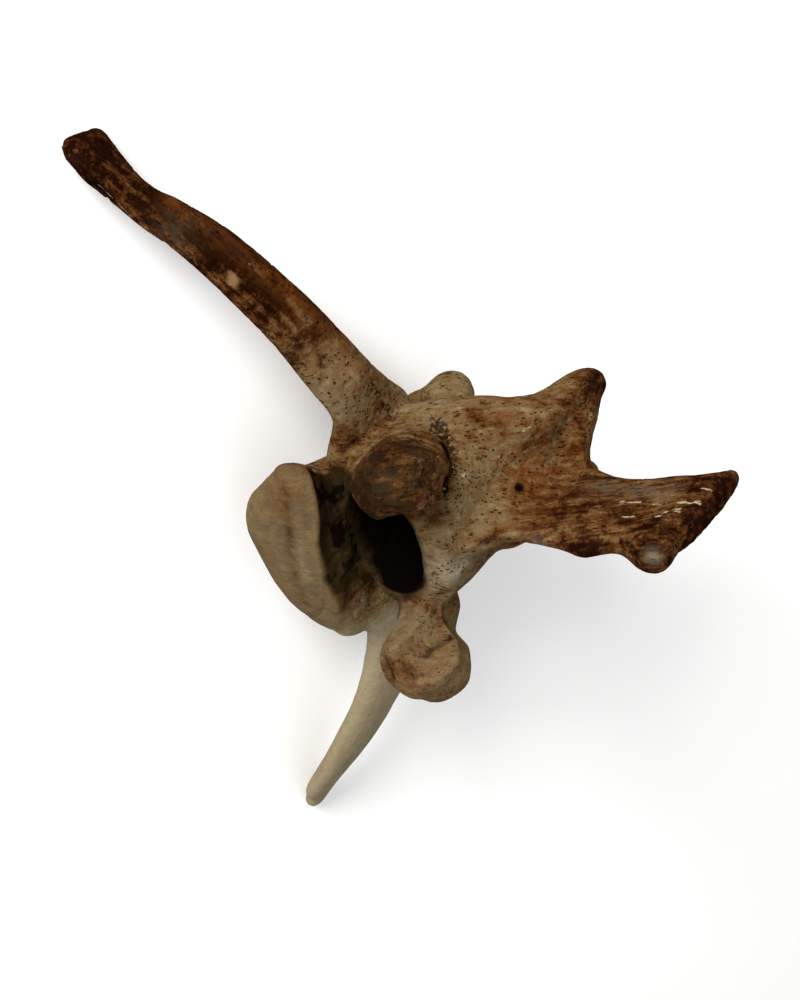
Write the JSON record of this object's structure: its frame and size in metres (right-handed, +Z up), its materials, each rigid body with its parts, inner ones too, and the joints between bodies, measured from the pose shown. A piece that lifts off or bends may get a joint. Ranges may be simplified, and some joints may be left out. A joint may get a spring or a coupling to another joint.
{
  "type": "deer lumbar vertebra",
  "caption": "Weathered lumbar vertebra of a deer, with long swept side processes, a flat spine plate, knobbed joint processes and an open canal, lying as it rests on a table.",
  "frame": {"origin": "on the table, under the middle of the bone's bounding box", "axes": "+X towards the animal's head along the table, +Y towards the animal's left, +Z up from the table; the bone is pitched with its head end up, as it rests"},
  "size_m": [0.0692, 0.1404, 0.0646],
  "materials": {
    "body_bone": "dry bone, olive grey, matt",
    "arch_bone": "dry bone, greyish tan with dark pits, matt",
    "spine_bone": "dry bone, stained warm brown, matt with a slight sheen",
    "stained_bone": "dry bone, blotched dark brown, slight sheen",
    "pale_bone": "dry bone, clean pale beige, matt",
    "joint_bone": "dry bone, mottled tan and brown, matt",
    "rear_joint_bone": "dry bone, brown, matt"
  },
  "bodies": {
    "root": {"centrum": "body_bone", "vertebral_arch": "arch_bone", "spinous_process": "spine_bone", "transverse_process_right": "stained_bone", "transverse_process_left": "pale_bone", "cranial_articular_process_right": "joint_bone", "cranial_articular_process_left": "joint_bone", "caudal_articular_process_right": "rear_joint_bone", "caudal_articular_process_left": "rear_joint_bone"}
  },
  "joints": []
}
